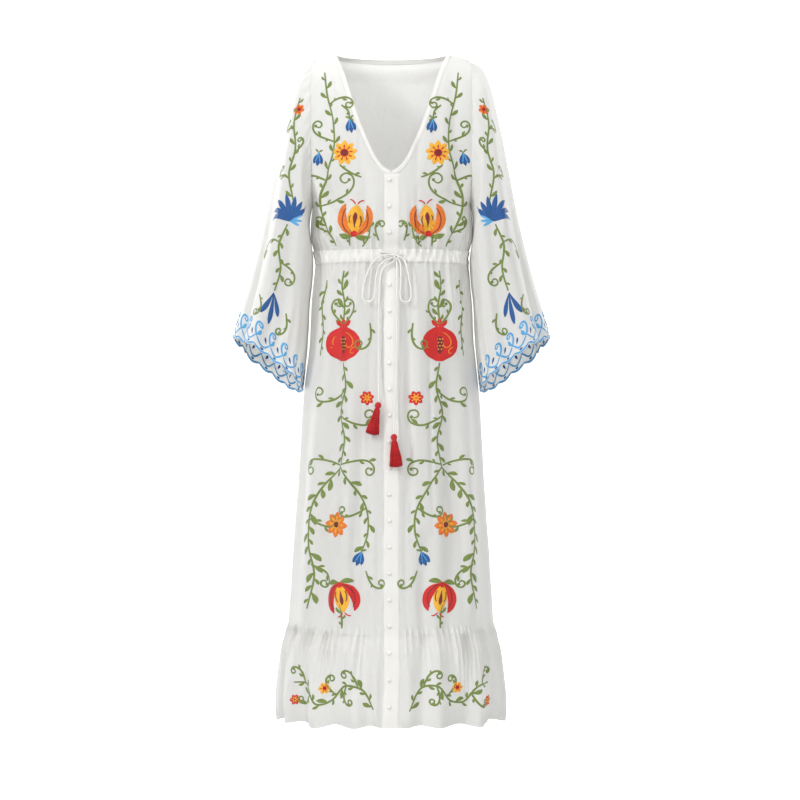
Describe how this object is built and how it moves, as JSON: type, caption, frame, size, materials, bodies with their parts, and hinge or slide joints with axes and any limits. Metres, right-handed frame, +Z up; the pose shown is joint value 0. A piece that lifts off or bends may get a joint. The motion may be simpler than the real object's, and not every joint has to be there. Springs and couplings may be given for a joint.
{
  "type": "peasant dress",
  "caption": "Long peasant dress held hollow: V neck, bell sleeves with scalloped edges, drawstring waist with tassels, buttoned front band, gathered skirt and flounce.",
  "frame": {"origin": "midway between the two neck points, where the shoulder seams meet the neck band, at the height where the wearer's shoulders hold the dress", "axes": "+Z up, the front faces -Y, +X towards the wearer's left"},
  "size_m": [0.6552, 0.3583, 1.372],
  "materials": {
    "cotton": "thin off-white cotton, plain weave, matt, slightly sheer",
    "folded_cotton": "the same cotton folded double, edge-stitched, a little warmer and denser",
    "covered_button": "off-white cotton drawn over a dome",
    "cord": "soft off-white twisted cotton cord",
    "tassel_thread": "red mercerised embroidery thread with a soft sheen"
  },
  "bodies": {
    "root": {"bodice_front_left": "cotton", "bodice_front_right": "cotton", "bodice_back": "cotton", "sleeve_left": "cotton", "sleeve_right": "cotton", "skirt_front_left": "cotton", "skirt_front_right": "cotton", "skirt_back": "cotton", "flounce_front_left": "cotton", "flounce_front_right": "cotton", "flounce_back": "cotton", "neckband_left": "folded_cotton", "neckband_right": "folded_cotton", "neckband_back": "folded_cotton", "waist_casing": "folded_cotton", "front_band": "folded_cotton", "button_01": "covered_button", "button_02": "covered_button", "button_03": "covered_button", "button_04": "covered_button", "button_05": "covered_button", "button_06": "covered_button", "button_07": "covered_button", "button_08": "covered_button", "button_09": "covered_button", "button_10": "covered_button", "button_11": "covered_button", "button_12": "covered_button", "button_13": "covered_button", "button_14": "covered_button", "button_15": "covered_button", "button_16": "covered_button", "button_17": "covered_button", "button_18": "covered_button", "button_19": "covered_button", "button_20": "covered_button", "button_21": "covered_button", "lead_left": "cord", "lead_right": "cord", "loop_left": "cord", "loop_right": "cord", "tail_left": "cord", "tail_right": "cord", "bow_knot": "cord", "tassel_left": "tassel_thread", "tassel_right": "tassel_thread"}
  },
  "joints": []
}
